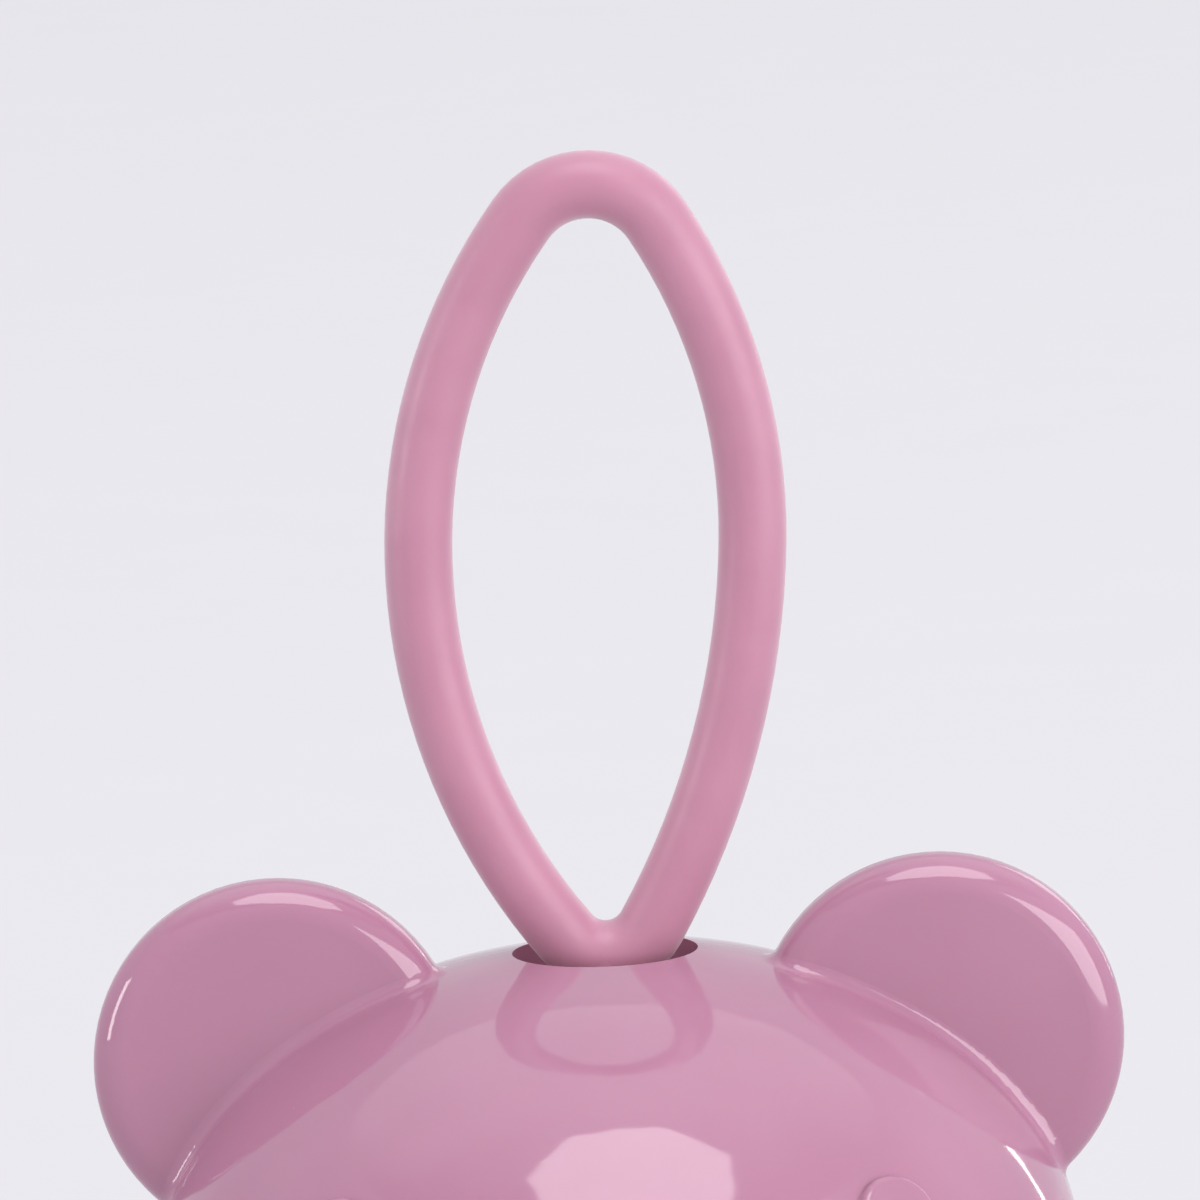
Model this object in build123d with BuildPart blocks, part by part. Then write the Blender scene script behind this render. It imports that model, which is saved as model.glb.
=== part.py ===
from build123d import *
from math import acos, asin, cos, hypot, pi, radians, sin, sqrt
import os

# Porcelain bell in the shape of a round-eared bear's head, hung by a moulded
# silicone loop that swivels in its crown. Millimetres. +Z is up, X runs across
# the ears and -Y is the front. The origin is the centre of the mouth, in the
# plane of the rim that the bell stands on.

# ---- Bell shell: slip-cast porcelain, one piece with its ears
head_radius = 35.1  # at the widest level
widest_height = 30.0  # from the rim to the widest level
dome_rise = 25.3  # from the widest level to the crown, a quarter ellipse
tuck_height = 52.0  # height of the ellipse that draws the wall in below
wall = 3.0
rim_round = 0.6
well_radius = 7.0  # well in the crown that the loop turns in
well_depth = 4.2  # below the edge of the well
well_edge_round = 0.3
crown_thickness = 3.2  # porcelain left under the well
ceiling_radius = 8.5  # flat ceiling inside, under the well
ceiling_slope = 4.5  # width of the slope from the ceiling to the wall
ceiling_round = 2.0
crown_hole_radius = 3.0

# ---- Ears: discs that stand on the dome
ear_radius = 13.9
ear_spacing = 49.8  # centre to centre
ear_height = 47.3  # centre above the rim
ear_thickness = 6.0
ear_edge_round = 2.6
ear_root_fillet = 1.1

# ---- Low relief on the face
eye_radius = 3.5
eye_spacing = 41.4
eye_height = 38.4
eye_relief = 0.7
eye_round = 0.6
nose_half_width = 4.4
nose_half_height = 3.1
nose_height = 27.5
nose_relief = 0.9
nose_round = 0.7
relief_root = 1.5  # how deep the relief is rooted in the wall

# ---- Hanging loop: one ring of silicone cord with a foot
cord_diameter = 5.1
loop_half_width = 12.5  # to the middle of the cord
loop_rise = 57.9  # middle of the cord at the top, above the edge of the well
loop_widest = 31.2  # level of the widest place, above the edge of the well
loop_top_radius = 6.15
loop_bottom_radius = 3.9
loop_shift = 1.8  # the sides and the top stand this far to the left of the foot
loop_lean = 2.9  # degrees, to the right
foot_radius = 4.0
foot_thickness = 1.0
foot_clearance = 0.15  # the foot turns clear of the bush
cord_lift = 0.4  # underside of the cord above the underside of the foot

# ---- Swivel fittings in the crown
bush_wall = 0.9
bush_flange_radius = 5.2
bush_flange_thickness = 0.8
bush_seat = 0.05  # radial room in the crown hole, filled by the glue
shoulder_clearance = 0.05  # running fit of the stud in the bush
stud_head_radius = 1.8
stud_head_thickness = 1.1
stud_neck_radius = 1.1
mould_gap = 0.02
thread_radius = 1.5
thread_clearance = 0.02
pad_radius = 5.6
pad_thickness = 0.8
end_play = 0.1
washer_radius = 4.5
washer_thickness = 0.5
nut_across_flats = 5.5
nut_thickness = 1.8

# ---- Clapper and its links
eye_barrel_radius = 2.3
eye_barrel_length = 2.6
eye_barrel_floor = 0.8  # solid metal under the thread
eye_wire = 0.8  # wire sizes are radii
eye_ring_radius = 2.6
link_wire = 0.6
link_ring_radius = 2.8
link_clearance = 0.05
rod_wire = 0.6
rod_eye_radius = 2.0
rod_length = 21.0  # middle of the link's wire to the middle of the bead
bead_radius = 8.0
bead_flat_radius = 2.0
bead_bore_clearance = 0.1
collar_radius = 1.5
collar_thickness = 1.0
cap_radius = 1.7
cap_height = 1.9
cap_round = 0.8
cap_floor = 0.7
crimp_clearance = 0.02

# ---- Levels that follow from those sizes
well_edge = widest_height + dome_rise * sqrt(1 - (well_radius / head_radius) ** 2)
well_floor = well_edge - well_depth
ceiling = well_floor - crown_thickness
bush_radius = crown_hole_radius - bush_seat
bush_bore_radius = bush_radius - bush_wall
shoulder_radius = bush_bore_radius - shoulder_clearance
foot_bottom = well_floor + bush_flange_thickness + foot_clearance
cord_middle = foot_bottom + cord_lift + cord_diameter / 2
loop_bottom = cord_middle - well_edge
pad_bottom = ceiling - pad_thickness
washer_top = pad_bottom - end_play
washer_bottom = washer_top - washer_thickness
nut_bottom = washer_bottom - nut_thickness
barrel_bottom = nut_bottom - eye_barrel_length
thread_end = barrel_bottom + eye_barrel_floor
thread_bore_radius = thread_radius + thread_clearance
eye_middle = barrel_bottom - eye_ring_radius
upper_hinge = eye_middle - eye_ring_radius
link_middle = upper_hinge + eye_wire + link_wire + link_clearance - link_ring_radius
lower_hinge = link_middle - link_ring_radius
rod_eye_middle = lower_hinge + link_wire + rod_wire + link_clearance - rod_eye_radius
bead_middle = lower_hinge - rod_length
bead_half_height = sqrt(bead_radius**2 - bead_flat_radius**2)
bead_top = bead_middle + bead_half_height
bead_bottom = bead_middle - bead_half_height
rod_end = bead_bottom - cap_height + cap_floor


def dome_radius(height):
    """Radius of the outside of the head at a height above the rim."""
    reach = dome_rise if height > widest_height else tuck_height
    return head_radius * sqrt(1 - ((height - widest_height) / reach) ** 2)


def on_dome(point):
    """True for a point on the outside of the upper dome."""
    across = hypot(point.X, point.Y) / head_radius
    up = (point.Z - widest_height) / dome_rise
    return up > 0 and abs(across**2 + up**2 - 1) < 0.002


def head_outline(radius, rise, top_angle):
    """One smooth curve from the rim up to an angle on the dome, for the outside or the inside."""
    wall_angles = [rim_angle * step / wall_steps for step in range(wall_steps, 0, -1)]
    dome_angles = [top_angle * step / dome_steps for step in range(dome_steps + 1)]
    points = [
        (radius * cos(angle), widest_height + (rise if angle > 0 else tuck_height) * sin(angle))
        for angle in wall_angles + dome_angles
    ]
    rim_tangent = (-radius * sin(rim_angle), tuck_height * cos(rim_angle))
    top_tangent = (-radius * sin(top_angle), rise * cos(top_angle))
    return Spline(points, tangents=[rim_tangent, top_tangent])


def has_radius(radius):
    """A test for edges that are arcs of this radius."""
    return lambda edge: edge.geom_type == GeomType.CIRCLE and abs(edge.radius - radius) < 1e-3


# ---- bell_shell: the head with its ears, eyes and nose, hollow and open below
wall_steps = 4
dome_steps = 8
rim_angle = -asin(widest_height / tuck_height)
inner_radius = head_radius - wall
inner_rise = dome_rise - wall
slope_radius = ceiling_radius + ceiling_slope
slope_angle = acos(slope_radius / inner_radius)
eye_depth = sqrt(dome_radius(eye_height) ** 2 - (eye_spacing / 2) ** 2)

with BuildPart() as bell_shell:
    with BuildSketch(Plane.YZ):
        with BuildLine():
            outside = head_outline(head_radius, dome_rise, pi / 2)
            Polyline(outside @ 1, (0, 0), outside @ 0)
        make_face()
    revolve(axis=Axis.Z)

    for side in (-1, 1):
        with BuildSketch(Plane.XZ.offset(-ear_thickness / 2)):
            with Locations((side * ear_spacing / 2, ear_height)):
                Circle(ear_radius)
        extrude(amount=ear_thickness)
    fillet(edges().filter_by(has_radius(ear_radius)), ear_edge_round)
    ear_roots = edges().filter_by(lambda e: on_dome(e @ 0.5) and abs((e @ 0.5).Y) < ear_thickness)
    fillet(ear_roots, ear_root_fillet)

    for side in (-1, 1):
        eye_point = Vector(side * eye_spacing / 2, -eye_depth, eye_height)
        outward = (
            eye_point.X / head_radius**2,
            eye_point.Y / head_radius**2,
            (eye_height - widest_height) / dome_rise**2,
        )
        eye_plane = Plane(origin=eye_point, z_dir=outward)
        with BuildSketch(eye_plane.offset(-relief_root)):
            Circle(eye_radius)
        extrude(amount=relief_root + eye_relief)
    fillet(edges().filter_by(has_radius(eye_radius)), eye_round)

    nose_plane = Plane.XZ.offset(dome_radius(nose_height) - relief_root)
    with BuildSketch(nose_plane):
        with Locations((0, nose_height)):
            Ellipse(nose_half_width, nose_half_height)
    extrude(amount=relief_root + nose_relief)
    fillet(faces().sort_by(Axis.Y)[0].edges(), nose_round)

    with BuildSketch(Plane.YZ):
        with BuildLine():
            inside = head_outline(inner_radius, inner_rise, slope_angle)
            Polyline(inside @ 1, (ceiling_radius, ceiling), (0, ceiling), (0, 0), inside @ 0)
        make_face()
    revolve(axis=Axis.Z, mode=Mode.SUBTRACT)
    fillet(edges().filter_by(has_radius(ceiling_radius)), ceiling_round)
    fillet(faces().sort_by(Axis.Z)[0].edges(), rim_round)

    with BuildSketch(Plane.XY.offset(well_floor)):
        Circle(well_radius)
    extrude(amount=well_depth + dome_rise, mode=Mode.SUBTRACT)
    well_rim = edges().filter_by(has_radius(well_radius)).sort_by(Axis.Z)[-1]
    fillet(well_rim, well_edge_round)
    with BuildSketch(Plane.XY.offset(well_floor)):
        Circle(crown_hole_radius)
    extrude(amount=-2 * crown_thickness, mode=Mode.SUBTRACT)
bell_shell.part.label = "bell_shell"


# ---- loop_stud: headed steel pin, a shoulder that turns in the bush, and a thread
with BuildPart() as loop_stud:
    with BuildSketch(Plane.XY.offset(cord_middle - stud_head_thickness / 2)):
        Circle(stud_head_radius)
    extrude(amount=stud_head_thickness)
    with BuildSketch(Plane.XY.offset(foot_bottom)):
        Circle(stud_neck_radius)
    extrude(amount=cord_middle - foot_bottom)
    with BuildSketch(Plane.XY.offset(washer_top)):
        Circle(shoulder_radius)
    extrude(amount=foot_bottom - washer_top)
    with BuildSketch(Plane.XY.offset(thread_end)):
        Circle(thread_radius)
    extrude(amount=washer_top - thread_end)
loop_stud.part.label = "loop_stud"


# ---- hanging_loop: the ring and its foot, moulded over the head of the stud
class SideArc:
    """Side of the loop, from its widest place to the top bend (up = 1) or bottom bend (up = -1)."""

    def __init__(self, side, bend_x, end_height, bend, up):
        reach = abs(end_height - loop_widest)
        half_width = loop_half_width - side * (bend_x + loop_shift)
        radius = (half_width**2 + (reach - bend) ** 2 - bend**2) / (2 * (half_width - bend))
        arc_middle = Vector(bend_x + side * (half_width - radius), loop_widest)
        bend_middle = Vector(bend_x, end_height - up * bend)
        to_bend = (bend_middle - arc_middle).normalized()
        to_widest = Vector(side, 0)
        self.widest = arc_middle + to_widest * radius
        self.halfway = arc_middle + (to_widest + to_bend).normalized() * radius
        self.end = arc_middle + to_bend * radius


lean = radians(loop_lean)
loop_plane = Plane(
    origin=(0, 0, well_edge), x_dir=(cos(lean), 0, -sin(lean)), z_dir=(0, -1, 0)
)
top_left = SideArc(-1, -loop_shift, loop_rise, loop_top_radius, 1)
top_right = SideArc(1, -loop_shift, loop_rise, loop_top_radius, 1)
bottom_left = SideArc(-1, 0, loop_bottom, loop_bottom_radius, -1)
bottom_right = SideArc(1, 0, loop_bottom, loop_bottom_radius, -1)

with BuildLine() as loop_outline:
    for arc in (top_left, top_right, bottom_left, bottom_right):
        ThreePointArc(arc.widest, arc.halfway, arc.end)
    ThreePointArc(top_left.end, Vector(-loop_shift, loop_rise), top_right.end)
    ThreePointArc(bottom_left.end, Vector(0, loop_bottom), bottom_right.end)
cord_path = (loop_plane.location * loop_outline.line).wires()[0]

with BuildPart() as hanging_loop:
    with BuildSketch(Plane(origin=cord_path @ 0, z_dir=cord_path % 0)):
        Circle(cord_diameter / 2)
    sweep(path=cord_path)
    with BuildSketch(Plane.XY.offset(foot_bottom)):
        Circle(foot_radius)
    extrude(amount=foot_thickness)
    with BuildSketch(Plane.XY.offset(foot_bottom)):
        Circle(cord_diameter / 2)
    extrude(amount=cord_middle - foot_bottom)

    with BuildSketch(Plane.XY.offset(cord_middle - stud_head_thickness / 2 - mould_gap)):
        Circle(stud_head_radius + mould_gap)
    extrude(amount=stud_head_thickness + 2 * mould_gap, mode=Mode.SUBTRACT)
    with BuildSketch(Plane.XY.offset(foot_bottom)):
        Circle(stud_neck_radius + mould_gap)
    extrude(amount=cord_middle - foot_bottom, mode=Mode.SUBTRACT)
hanging_loop.part.label = "hanging_loop"


# ---- crown_bush: flanged plastic bush, glued in the crown, that the stud turns in
with BuildPart() as crown_bush:
    with BuildSketch(Plane.XY.offset(well_floor)):
        Circle(bush_flange_radius)
    extrude(amount=bush_flange_thickness)
    with BuildSketch(Plane.XY.offset(ceiling)):
        Circle(bush_radius)
    extrude(amount=crown_thickness)
    with Locations((0, 0, well_floor + bush_flange_thickness)):
        Hole(bush_bore_radius)
crown_bush.part.label = "crown_bush"


def flat_ring(outer, inner, bottom, thickness):
    """A washer: a ring of flat stock, lying level."""
    with BuildPart() as ring:
        with BuildSketch(Plane.XY.offset(bottom)):
            Circle(outer)
            Circle(inner, mode=Mode.SUBTRACT)
        extrude(amount=thickness)
    return ring


# ---- crown_pad and crown_washer: soft ring on the ceiling and the steel ring that turns on it
crown_pad = flat_ring(pad_radius, bush_bore_radius, pad_bottom, pad_thickness)
crown_pad.part.label = "crown_pad"
crown_washer = flat_ring(washer_radius, thread_bore_radius, washer_bottom, washer_thickness)
crown_washer.part.label = "crown_washer"

# ---- crown_nut: thin hexagon nut that holds the washer on the shoulder of the stud
with BuildPart() as crown_nut:
    with BuildSketch(Plane.XY.offset(nut_bottom)):
        RegularPolygon(nut_across_flats / 2, 6, major_radius=False)
        Circle(thread_bore_radius, mode=Mode.SUBTRACT)
    extrude(amount=nut_thickness)
crown_nut.part.label = "crown_nut"

# ---- clapper_eye: threaded barrel with a ring below it
with BuildPart() as clapper_eye:
    with BuildSketch(Plane.XY.offset(barrel_bottom)):
        Circle(eye_barrel_radius)
    extrude(amount=eye_barrel_length)
    with Locations((0, 0, eye_middle)):
        Torus(eye_ring_radius, eye_wire, rotation=(90, 0, 0))
    with BuildSketch(Plane.XY.offset(thread_end - thread_clearance)):
        Circle(thread_bore_radius)
    extrude(amount=nut_bottom - thread_end + thread_clearance, mode=Mode.SUBTRACT)
clapper_eye.part.label = "clapper_eye"

# ---- link_ring: loose ring between the eye and the clapper
with BuildPart() as link_ring:
    with Locations((0, 0, link_middle)):
        Torus(link_ring_radius, link_wire, rotation=(0, 90, 0))
link_ring.part.label = "link_ring"

# ---- clapper_rod: straight wire with an eye bent at its top
with BuildPart() as clapper_rod:
    with BuildSketch(Plane.XY.offset(rod_end)):
        Circle(rod_wire)
    extrude(amount=rod_eye_middle - rod_eye_radius - rod_end)
    with Locations((0, 0, rod_eye_middle)):
        Torus(rod_eye_radius, rod_wire, rotation=(90, 0, 0))
clapper_rod.part.label = "clapper_rod"

# ---- clapper_bead: turned wooden bead with flat ends and a bore
with BuildPart() as clapper_bead:
    with BuildSketch(Plane.XZ):
        with BuildLine():
            belly = ThreePointArc(
                (bead_flat_radius, bead_top), (bead_radius, bead_middle), (bead_flat_radius, bead_bottom)
            )
            bore = rod_wire + bead_bore_clearance
            Polyline(belly @ 1, (bore, bead_bottom), (bore, bead_top), belly @ 0)
        make_face()
    revolve(axis=Axis.Z)
clapper_bead.part.label = "clapper_bead"

# ---- bead_collar and bead_cap: crimped on the rod above and below the bead
crimp_bore = rod_wire + crimp_clearance
bead_collar = flat_ring(collar_radius, crimp_bore, bead_top, collar_thickness)
bead_collar.part.label = "bead_collar"
with BuildPart() as bead_cap:
    with BuildSketch(Plane.XY.offset(bead_bottom - cap_height)):
        Circle(cap_radius)
    extrude(amount=cap_height)
    fillet(faces().sort_by(Axis.Z)[0].edges(), cap_round)
    with BuildSketch(Plane.XY.offset(rod_end - crimp_clearance)):
        Circle(crimp_bore)
    extrude(amount=bead_bottom - rod_end + crimp_clearance, mode=Mode.SUBTRACT)
bead_cap.part.label = "bead_cap"

# ---- Written pieces
pieces = [
    bell_shell,
    hanging_loop,
    loop_stud,
    crown_bush,
    crown_pad,
    crown_washer,
    crown_nut,
    clapper_eye,
    link_ring,
    clapper_rod,
    clapper_bead,
    bead_collar,
    bead_cap,
]
os.makedirs("parts", exist_ok=True)
for piece in pieces:
    export_step(piece.part, f"parts/{piece.part.label}.step")
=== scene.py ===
import math

import bpy
from mathutils import Matrix, Vector

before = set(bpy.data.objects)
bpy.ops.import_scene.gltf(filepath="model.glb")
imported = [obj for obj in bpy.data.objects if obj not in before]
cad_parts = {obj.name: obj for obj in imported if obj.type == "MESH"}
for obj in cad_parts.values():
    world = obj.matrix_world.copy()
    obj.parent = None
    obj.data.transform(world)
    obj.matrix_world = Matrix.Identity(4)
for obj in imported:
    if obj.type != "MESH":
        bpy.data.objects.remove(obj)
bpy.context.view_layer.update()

# ---- Bell shell
# Slip-cast porcelain: head, ears, eyes and nose are one casting, dipped in a
# glossy rose glaze that is wiped off the rim, where the bare body shows. The
# well's walls are painted a paler pink, a painted light in the shaded recess.
glaze_rose = (0.394, 0.184, 0.275, 1)
glaze_deep = (0.376, 0.169, 0.259, 1)
# Painted light: the paler pink painted on the walls of the well under the loop.
painted_well_light = (0.64, 0.35, 0.43, 1)
bisque = (0.66, 0.60, 0.54, 1)
dust = (0.68, 0.48, 0.57, 1)
well_inside = 0.0068
well_outside = 0.0071
well_ceiling = 0.0492
rim_bare_below = 0.0004
rim_glazed_above = 0.0007
bisque_roughening = 0.55


class Value:
    """A number or a link in a finish that Python's arithmetic signs work on."""

    def __init__(self, finish, socket):
        self.finish = finish
        self.socket = socket

    def math(self, operation, other, swapped=False):
        pair = {0: other, 1: self} if swapped else {0: self, 1: other}
        return self.finish.node("ShaderNodeMath", {"operation": operation}, pair)

    def __add__(self, other):
        return self.math("ADD", other)

    def __sub__(self, other):
        return self.math("SUBTRACT", other)

    def __rsub__(self, other):
        return self.math("SUBTRACT", other, swapped=True)

    def __mul__(self, other):
        return self.math("MULTIPLY", other)

    def __lt__(self, other):
        return self.math("LESS_THAN", other)

    def __gt__(self, other):
        return self.math("GREATER_THAN", other)

    __radd__ = __add__
    __rmul__ = __mul__


class Finish:
    """The finish of one piece: a shader, what is the same all over it, and nodes that vary it."""

    def __init__(self, name, store=bpy.data.materials, shader="Principled BSDF", **constants):
        self.block = store.new(name)
        self.block.use_nodes = True
        self.tree = self.block.node_tree
        self.surface = self.tree.nodes[shader]
        for words, value in constants.items():
            self.surface.inputs[words.replace("_", " ")].default_value = value

    def node(self, kind, settings=None, inputs=None, output=0):
        """Any node: its type, its settings, and the values or links of its sockets."""
        node = self.tree.nodes.new(kind)
        for name, value in (settings or {}).items():
            setattr(node, name, value)
        for key, value in (inputs or {}).items():
            if isinstance(value, Value):
                self.tree.links.new(value.socket, node.inputs[key])
            else:
                node.inputs[key].default_value = value
        return Value(self, node.outputs[output])

    def place(self):
        """Where a point of the piece is, in metres."""
        return self.node("ShaderNodeTexCoord", output="Object")

    def along(self, axis):
        return self.node("ShaderNodeSeparateXYZ", None, {0: self.place()}, axis)

    def noise(self, per_metre, detail=3.0):
        sockets = {"Vector": self.place(), "Scale": per_metre, "Detail": detail, "Roughness": 0.5}
        return self.node("ShaderNodeTexNoise", None, sockets)

    def blend(self, factor, first, second):
        colours = {0: factor, 6: first, 7: second}
        return self.node("ShaderNodeMix", {"data_type": "RGBA"}, colours, 2)

    def between(self, value, low, high, out_low=0.0, out_high=1.0):
        """The value's stretch from low to high, spread over a new range and held at its ends."""
        sockets = {0: value, 1: low, 2: high, 3: out_low, 4: out_high}
        return self.node("ShaderNodeMapRange", {"interpolation_type": "SMOOTHSTEP"}, sockets)

    def specks(self, per_metre, share, size):
        """Sparse round specks: 1 on a speck, 0 elsewhere. size is a share of the spacing."""
        cell = {"Vector": self.place(), "Scale": per_metre}
        reach = self.node("ShaderNodeTexVoronoi", None, cell, "Distance")
        tint = self.node("ShaderNodeTexVoronoi", None, cell, "Color")
        chosen = self.node("ShaderNodeSeparateColor", None, {0: tint}, "Red") < share
        return self.between(reach, size, size * 0.6) * chosen

    def raise_by(self, height, metres, strength):
        sockets = {"Strength": strength, "Distance": metres, "Height": height}
        self.feed("Normal", self.node("ShaderNodeBump", None, sockets))

    def feed(self, name, value):
        self.tree.links.new(value.socket, self.surface.inputs[name])

    def put_on(self, piece):
        piece.data.materials.clear()
        piece.data.materials.append(self.block)


glaze = Finish("rose_glaze", Subsurface_Weight=0.12, Subsurface_Scale=0.001, IOR=1.6)
pooled = glaze.between(glaze.noise(per_metre=55.0, detail=2.0), low=0.35, high=0.65)
glaze_tint = glaze.blend(pooled, glaze_rose, glaze_deep)
glaze_speck = glaze.specks(per_metre=170.0, share=0.06, size=0.018)
glaze_tint = glaze.blend(glaze_speck, glaze_tint, dust)
across, inward, upward = glaze.along("X"), glaze.along("Y"), glaze.along("Z")
off_axis = across * across + inward * inward
# Painted light: inside the ring of the well, above its floor, the glaze colour is painted paler to
# brighten the shaded recess.
in_well = glaze.between(off_axis, well_outside**2, well_inside**2) * (upward > well_ceiling)
glaze_tint = glaze.blend(in_well, glaze_tint, painted_well_light)
glazed = glaze.between(upward, rim_bare_below, rim_glazed_above)
glaze.feed("Base Color", glaze.blend(glazed, bisque, glaze_tint))
glaze_noise = glaze.noise(per_metre=120.0, detail=4.0)
glaze_shine = glaze.between(glaze_noise, low=0.3, high=0.7, out_low=0.045, out_high=0.085)
glaze.feed("Roughness", glaze_shine + (1 - glazed) * bisque_roughening)
glaze_waves = glaze.noise(per_metre=90.0, detail=2.0) + glaze_speck * 0.5
glaze.raise_by(glaze_waves, metres=0.00006, strength=0.35)
glaze.put_on(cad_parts["bell_shell"])

# ---- Hanging loop
# One closed ring of round silicone cord, moulded in one shot over the head of
# the stud. Its skin is matt, with a little dust on it.
silicone_rose = (0.460, 0.200, 0.290, 1)
silicone_deep = (0.438, 0.185, 0.274, 1)
silicone = Finish(
    "loop_silicone", Subsurface_Weight=0.15, Subsurface_Scale=0.001, IOR=1.5, Sheen_Weight=0.45
)
mottle = silicone.between(silicone.noise(per_metre=140.0), low=0.35, high=0.65)
silicone_tint = silicone.blend(mottle, silicone_rose, silicone_deep)
silicone_speck = silicone.specks(per_metre=260.0, share=0.10, size=0.022)
silicone.feed("Base Color", silicone.blend(silicone_speck, silicone_tint, dust))
skin = silicone.noise(per_metre=300.0, detail=4.0)
skin = silicone.between(skin, low=0.3, high=0.7, out_low=0.38, out_high=0.46)
silicone.feed("Roughness", skin)
silicone_grain = silicone.noise(per_metre=2600.0) + silicone_speck
silicone.raise_by(silicone_grain, metres=0.00002, strength=0.4)
silicone.put_on(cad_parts["hanging_loop"])

# ---- Loop stud
# A turned steel stud. The loop is moulded over its head, its shoulder turns in
# the bush, and its thread carries the nut and the eye inside the bell.
steel_pale = (0.62, 0.62, 0.63, 1)
steel_dark = (0.42, 0.42, 0.44, 1)
wear_to_grain = 2.2


def steel_finish(name, grain_per_metre, smoothest, roughest):
    """Steel with a grain of its own fineness, and the range of its roughness."""
    steel = Finish(name, Metallic=1.0)
    drawn = steel.between(steel.noise(grain_per_metre, detail=5.0), low=0.35, high=0.7)
    steel.feed("Base Color", steel.blend(drawn, steel_pale, steel_dark))
    worn = steel.noise(grain_per_metre * wear_to_grain, detail=4.0)
    worn = steel.between(worn, low=0.3, high=0.7, out_low=smoothest, out_high=roughest)
    steel.feed("Roughness", worn)
    return steel


turned_steel = steel_finish("turned_steel", grain_per_metre=900.0, smoothest=0.22, roughest=0.38)
turned_steel.put_on(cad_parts["loop_stud"])

# ---- Crown bush
# A flanged bush moulded in white nylon and glued in the crown hole, so that the
# stud turns in plastic and not in porcelain.
nylon_white = (0.80, 0.79, 0.74, 1)
nylon_yellowed = (0.72, 0.70, 0.65, 1)
nylon = Finish("bush_nylon", Subsurface_Weight=0.2, Subsurface_Scale=0.001)
nylon_cloud = nylon.between(nylon.noise(per_metre=400.0), low=0.3, high=0.7)
nylon.feed("Base Color", nylon.blend(nylon_cloud, nylon_white, nylon_yellowed))
nylon_skin = nylon.noise(per_metre=1500.0)
nylon_skin = nylon.between(nylon_skin, low=0.3, high=0.7, out_low=0.42, out_high=0.55)
nylon.feed("Roughness", nylon_skin)
nylon.put_on(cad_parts["crown_bush"])

# ---- Crown pad
# A soft ring stamped from pale silicone sheet and stuck on the ceiling under
# the crown, where it keeps the steel off the porcelain.
pad_pale = (0.74, 0.72, 0.70, 1)
pad_bloomed = (0.64, 0.62, 0.60, 1)
pad = Finish("pad_silicone", Subsurface_Weight=0.2, Subsurface_Scale=0.001)
pad_bloom = pad.between(pad.noise(per_metre=650.0, detail=4.0), low=0.35, high=0.7)
pad.feed("Base Color", pad.blend(pad_bloom, pad_pale, pad_bloomed))
pad_skin = pad.noise(per_metre=1700.0)
pad_skin = pad.between(pad_skin, low=0.3, high=0.7, out_low=0.58, out_high=0.74)
pad.feed("Roughness", pad_skin)
pad.raise_by(pad.noise(per_metre=4200.0, detail=2.0), metres=0.00002, strength=0.5)
pad.put_on(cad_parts["crown_pad"])

# ---- Crown washer
# A flat steel washer that turns on the pad with the stud. It is stamped and
# tumbled, which leaves it duller than the turned parts.
tumbled_steel = steel_finish("tumbled_steel", grain_per_metre=1300.0, smoothest=0.34, roughest=0.50)
tumbled_steel.put_on(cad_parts["crown_washer"])

# ---- Crown nut
# A thin hexagon nut cut from bar steel. It holds the washer tight against the
# shoulder of the stud.
turned_steel.put_on(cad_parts["crown_nut"])

# ---- Clapper eye
# A threaded steel barrel with a ring below it. It is screwed on the end of the
# stud and locks the nut.
turned_steel.put_on(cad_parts["clapper_eye"])

# ---- Link ring
# A loose ring of round steel wire, butted and welded, that joins the eye and
# the clapper. Its round is worn bright.
wire_steel = steel_finish("wire_steel", grain_per_metre=1100.0, smoothest=0.16, roughest=0.30)
wire_steel.put_on(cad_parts["link_ring"])

# ---- Clapper rod
# A straight length of the same wire. Its top is bent into an eye round the
# link ring, and the bead is threaded on below.
wire_steel.put_on(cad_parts["clapper_rod"])

# ---- Bead collar
# A turned brass ring crimped on the rod above the bead. Handling has dulled it
# in patches.
brass_bright = (0.78, 0.57, 0.25, 1)
brass_dulled = (0.52, 0.36, 0.15, 1)
brass = Finish("turned_brass", Metallic=1.0)
tarnish = brass.between(brass.noise(per_metre=700.0, detail=5.0), low=0.4, high=0.7)
brass.feed("Base Color", brass.blend(tarnish, brass_bright, brass_dulled))
brass_wear = brass.noise(per_metre=1800.0)
brass_wear = brass.between(brass_wear, low=0.3, high=0.7, out_low=0.2, out_high=0.38)
brass.feed("Roughness", brass_wear)
brass.put_on(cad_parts["bead_collar"])

# ---- Clapper bead
# A beech bead turned on the lathe, bored and oiled. It strikes the inside of
# the wall and gives the bell a soft sound.
beech_light = (0.62, 0.41, 0.23, 1)
beech_dark = (0.47, 0.28, 0.14, 1)
beech = Finish("turned_beech")
growth = beech.node(
    "ShaderNodeTexWave",
    {"wave_type": "RINGS", "rings_direction": "X"},
    {
        "Vector": beech.place(),
        "Scale": 260.0,
        "Distortion": 6.0,
        "Detail": 3.0,
        "Detail Scale": 1.5,
    },
    "Fac",
)
beech.feed("Base Color", beech.blend(growth, beech_light, beech_dark))
beech.feed("Roughness", beech.between(growth, low=0.0, high=1.0, out_low=0.38, out_high=0.52))
beech.raise_by(growth, metres=0.00005, strength=0.4)
beech.put_on(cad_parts["clapper_bead"])

# ---- Bead cap
# A cap of the same brass, crimped on the rod's lower end, which keeps the bead
# from sliding off.
brass.put_on(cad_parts["bead_cap"])

# ---- Studio floor
# A round sheet of pale paper that sweeps up all round into a wall, so that it
# has no edge from any side. It glows a little, as lit paper does.
floor_reach = 1.3
sweep_radius = 0.9
wall_height = 2.2
sweep_steps = 24
turns = 96
paper_glow = (0.815, 0.805, 0.850, 1)
paper_pale = (0.090, 0.089, 0.094, 1)
paper_grey = (0.086, 0.085, 0.090, 1)


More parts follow.
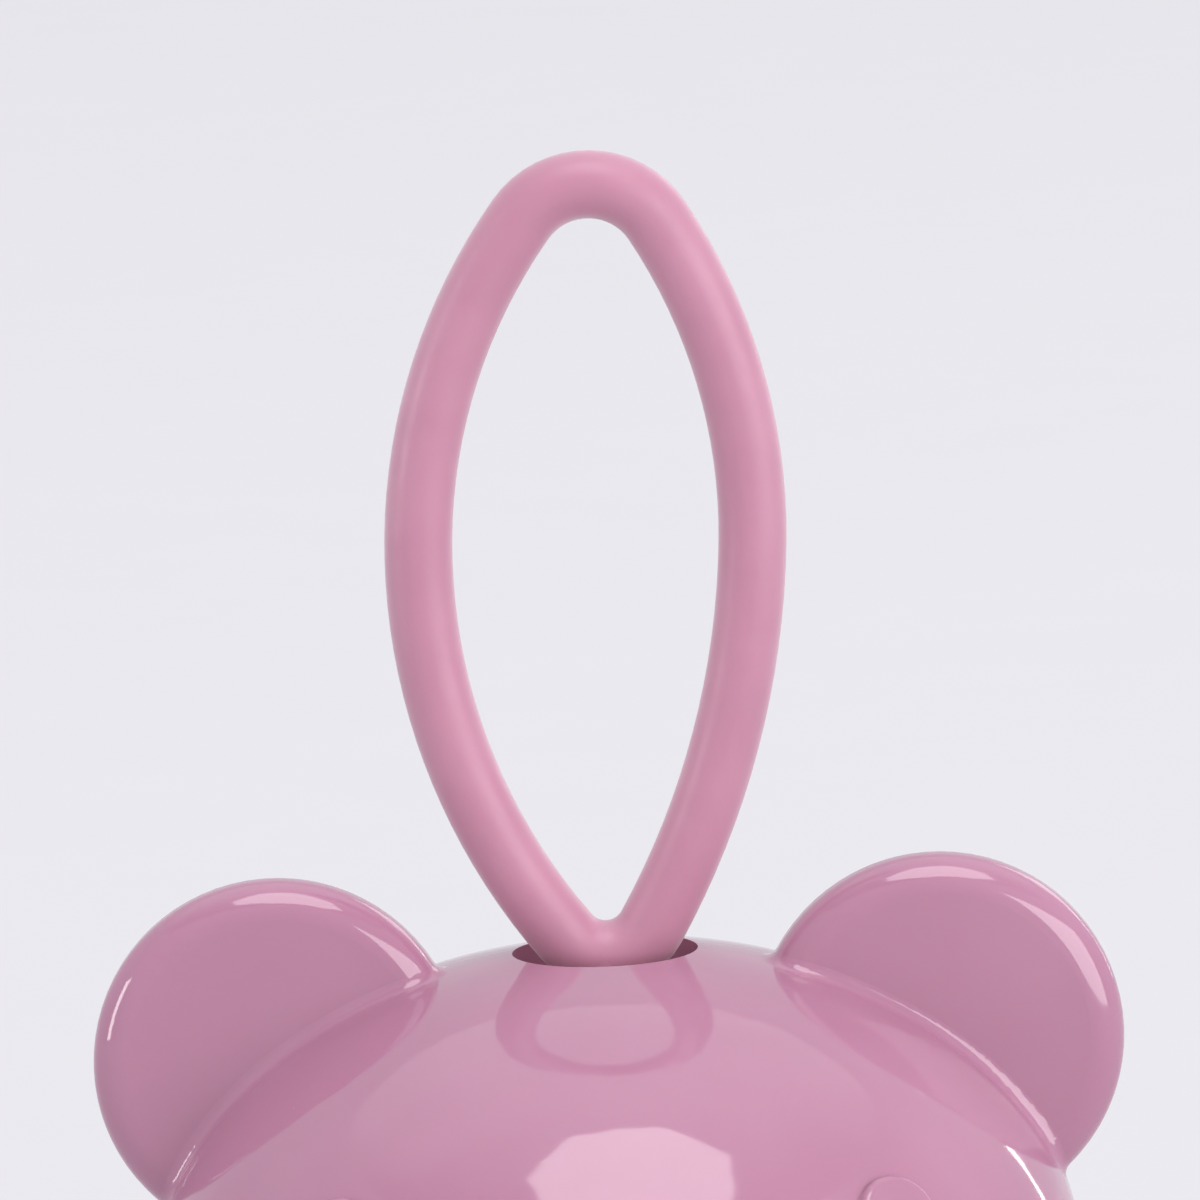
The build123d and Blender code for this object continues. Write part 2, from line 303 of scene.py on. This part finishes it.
def stage_piece(name, points, faces):
    """A mesh that is part of the studio and not of the bell."""
    mesh = bpy.data.meshes.new(name)
    mesh.from_pydata(points, [], faces)
    piece = bpy.data.objects.new(name, mesh)
    bpy.context.scene.collection.objects.link(piece)
    return piece


outline = [(floor_reach, 0.0)]
for step in range(1, sweep_steps + 1):
    angle = math.pi / 2 * step / sweep_steps
    reach = floor_reach + sweep_radius * math.sin(angle)
    outline.append((reach, sweep_radius * (1 - math.cos(angle))))
outline.append((floor_reach + sweep_radius, wall_height))
points = [(0, 0, 0)]
for reach, rise in outline:
    for turn in range(turns):
        angle = 2 * math.pi * turn / turns
        points.append((reach * math.cos(angle), reach * math.sin(angle), rise))
faces = []
for turn in range(turns):
    after = (turn + 1) % turns
    faces.append((0, 1 + turn, 1 + after))
    for ring in range(len(outline) - 1):
        low = 1 + ring * turns
        high = low + turns
        faces.append((low + turn, high + turn, high + after, low + after))
studio_floor = stage_piece("studio_floor", points, faces)
studio_floor.data.shade_smooth()
paper = Finish("studio_paper", Roughness=0.9, Emission_Strength=0.815, Emission_Color=paper_glow)
paper_grain = paper.between(paper.noise(per_metre=40.0), low=0.3, high=0.7)
paper.feed("Base Color", paper.blend(paper_grain, paper_pale, paper_grey))
paper.put_on(studio_floor)

# ---- Lights
# An eight-sided softbox overhead and a little to the front, a strip at the
# front left, a strip and a panel behind on the right, a broad panel at the
# front right, and a soft glow of the sky over the back.
key_sides = 8
key_radius = 0.774
key_white = (1.0, 0.99, 0.98, 1)
key_grey = (0.95, 0.94, 0.94, 1)
bell_middle = Vector((0, 0, 0.05))


def away(side_degrees, rise_degrees, distance):
    """A place seen from the bell: degrees to its right from the front, and degrees up."""
    side = math.radians(side_degrees)
    rise = math.radians(rise_degrees)
    level_reach = distance * math.cos(rise)
    return bell_middle + Vector(
        (level_reach * math.sin(side), -level_reach * math.cos(side), distance * math.sin(rise))
    )


def aim_at_bell(piece, place):
    piece.location = place
    piece.rotation_euler = (bell_middle - place).to_track_quat("-Z", "Y").to_euler()


def softbox(name, place, width, height, radiance):
    light = bpy.data.lights.new(name, "AREA")
    light.shape = "RECTANGLE"
    light.size = width
    light.size_y = height
    light.energy = radiance * math.pi * width * height
    box = bpy.data.objects.new(name, light)
    bpy.context.scene.collection.objects.link(box)
    aim_at_bell(box, place)


key_turns = [2 * math.pi * (corner + 0.5) / key_sides for corner in range(key_sides)]
key_corners = [(key_radius * math.cos(turn), key_radius * math.sin(turn), 0) for turn in key_turns]
key_softbox = stage_piece("key_softbox", key_corners, [tuple(range(key_sides))])
aim_at_bell(key_softbox, away(10, 67, distance=2.0))
key_cloth = Finish("softbox_cloth", Roughness=0.9, Emission_Strength=3.7)
weave = key_cloth.between(key_cloth.noise(per_metre=6.0), low=0.3, high=0.7)
key_cloth.feed("Emission Color", key_cloth.blend(weave, key_white, key_grey))
key_cloth.put_on(key_softbox)
softbox("left_strip", away(-74, 11, distance=1.2), width=0.24, height=0.46, radiance=7)
softbox("right_strip", away(138, 11, distance=1.1), width=0.02, height=0.40, radiance=12)
softbox("right_back_panel", away(148, 24, distance=1.15), width=0.42, height=0.36, radiance=1.6)
softbox("front_panel", away(48, 12, distance=1.3), width=1.2, height=0.8, radiance=3.8)

sky = Finish("studio_sky", bpy.data.worlds, "Background", Color=(0.95, 0.95, 0.98, 1))
toward_back = sky.node(
    "ShaderNodeVectorMath",
    {"operation": "DOT_PRODUCT"},
    {
        0: sky.node("ShaderNodeTexCoord", output="Generated"),
        1: away(180, 58, distance=1) - bell_middle,
    },
    "Value",
)
sky.feed("Strength", sky.between(toward_back, low=0.45, high=0.98, out_low=0.35, out_high=1.25))
bpy.context.scene.world = sky.block

# ---- Camera
# The bell is seen from the front and a little above, through a long lens, with
# the head cut off below the eyes and the whole hanging loop in view.
view_rise = math.radians(8.6)
view_roll = math.radians(-2.31)
view_distance = 0.9
view_width = 0.0902
well_edge_height = 0.05478
aim_right = 0.000685
aim_above_well = 0.02631
lens = bpy.data.cameras.new("view_camera")
lens.sensor_width = 36
lens.lens = lens.sensor_width * view_distance / view_width
camera = bpy.data.objects.new("view_camera", lens)
bpy.context.scene.collection.objects.link(camera)
aim_height = well_edge_height + aim_above_well * math.cos(view_rise)
aim = Vector((aim_right, aim_above_well * math.sin(view_rise), aim_height))
backward = Vector((0, -math.cos(view_rise), math.sin(view_rise)))
stand = Matrix.Translation(aim + backward * view_distance)
tilt = Matrix.Rotation(math.pi / 2 - view_rise, 4, "X")
camera.matrix_world = stand @ tilt @ Matrix.Rotation(view_roll, 4, "Z")
bpy.context.scene.camera = camera
bpy.context.scene.view_settings.view_transform = "Standard"
